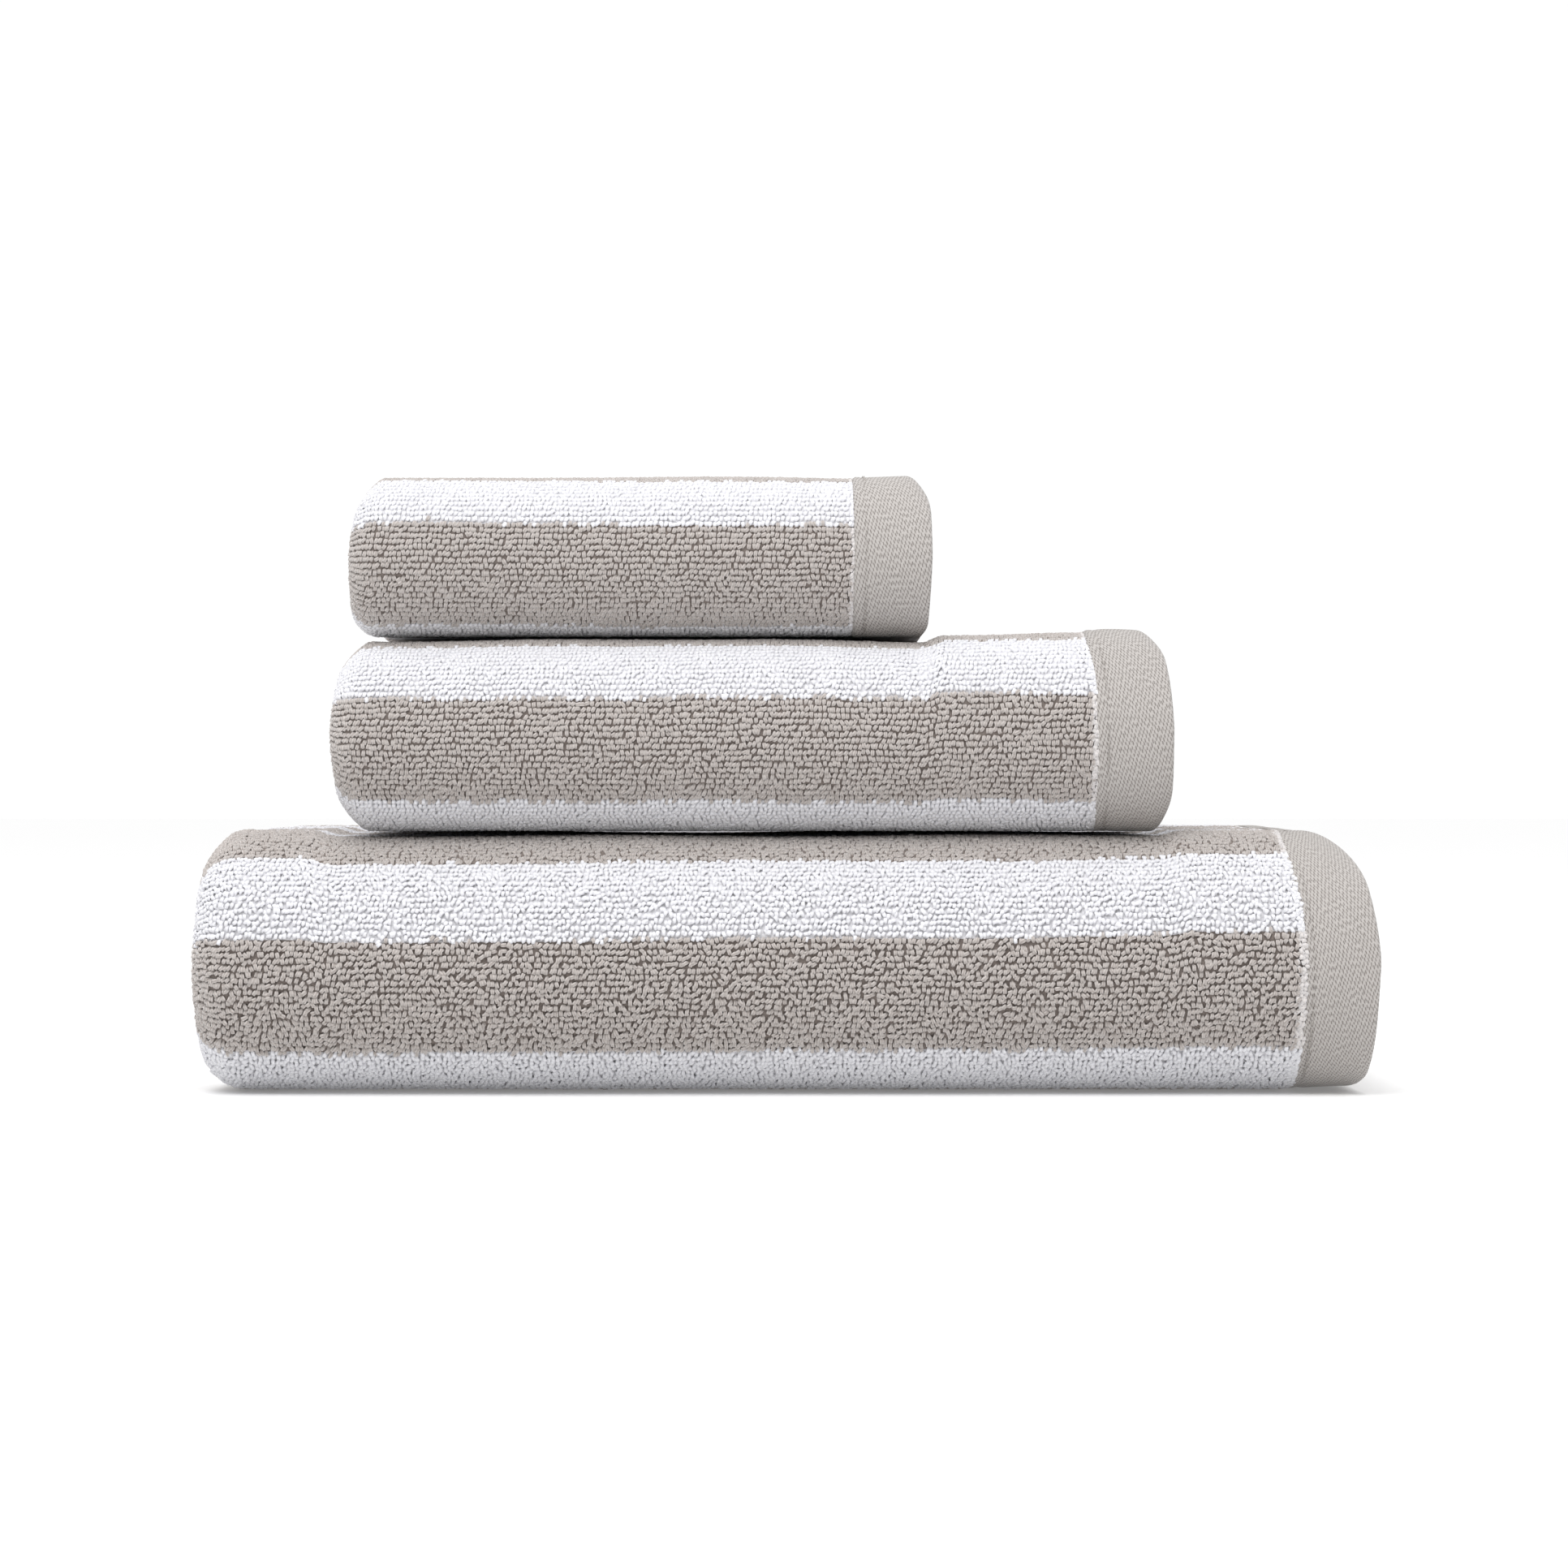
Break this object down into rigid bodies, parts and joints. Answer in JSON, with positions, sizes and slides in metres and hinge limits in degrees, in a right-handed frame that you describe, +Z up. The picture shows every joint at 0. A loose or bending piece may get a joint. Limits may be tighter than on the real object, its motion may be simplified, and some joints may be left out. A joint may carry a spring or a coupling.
{
  "type": "bath towel set",
  "caption": "Stack of folded striped terry towels, bath, hand and guest size, each with flat-woven end hems and sewn side hems.",
  "frame": {"origin": "centre of the flat face that the bath towel rests on", "axes": "+X along the front fold, from the folded ends to the end hems; +Y to the back; +Z up"},
  "size_m": [0.35, 0.2495, 0.1846],
  "materials": {
    "terry": "matte",
    "terry_hem": "matte",
    "flat_weave": "matte",
    "thread": "matte"
  },
  "bodies": {
    "bath_towel": {"bath_terry_cloth": "terry", "bath_outer_end_hem": "flat_weave", "bath_inner_end_hem": "flat_weave", "bath_outer_end_thread": "thread", "bath_inner_end_thread": "thread", "bath_top_side_hem": "terry_hem", "bath_tucked_side_hem": "terry_hem", "bath_top_side_thread": "thread", "bath_tucked_side_thread": "thread"},
    "hand_towel": {"hand_terry_cloth": "terry", "hand_outer_end_hem": "flat_weave", "hand_inner_end_hem": "flat_weave", "hand_outer_end_thread": "thread", "hand_inner_end_thread": "thread", "hand_top_side_hem": "terry_hem", "hand_tucked_side_hem": "terry_hem", "hand_top_side_thread": "thread", "hand_tucked_side_thread": "thread"},
    "guest_towel": {"guest_terry_cloth": "terry", "guest_outer_end_hem": "flat_weave", "guest_inner_end_hem": "flat_weave", "guest_outer_end_thread": "thread", "guest_inner_end_thread": "thread", "guest_top_side_hem": "terry_hem", "guest_tucked_side_hem": "terry_hem", "guest_top_side_thread": "thread", "guest_tucked_side_thread": "thread"}
  },
  "joints": [
    {"name": "hand_towel_lift", "type": "slide", "parent": "bath_towel", "child": "hand_towel", "axis": [0, 0, 1], "range_m": [0, 0.12]},
    {"name": "guest_towel_lift", "type": "slide", "parent": "hand_towel", "child": "guest_towel", "axis": [0, 0, 1], "range_m": [0, 0.12]}
  ]
}
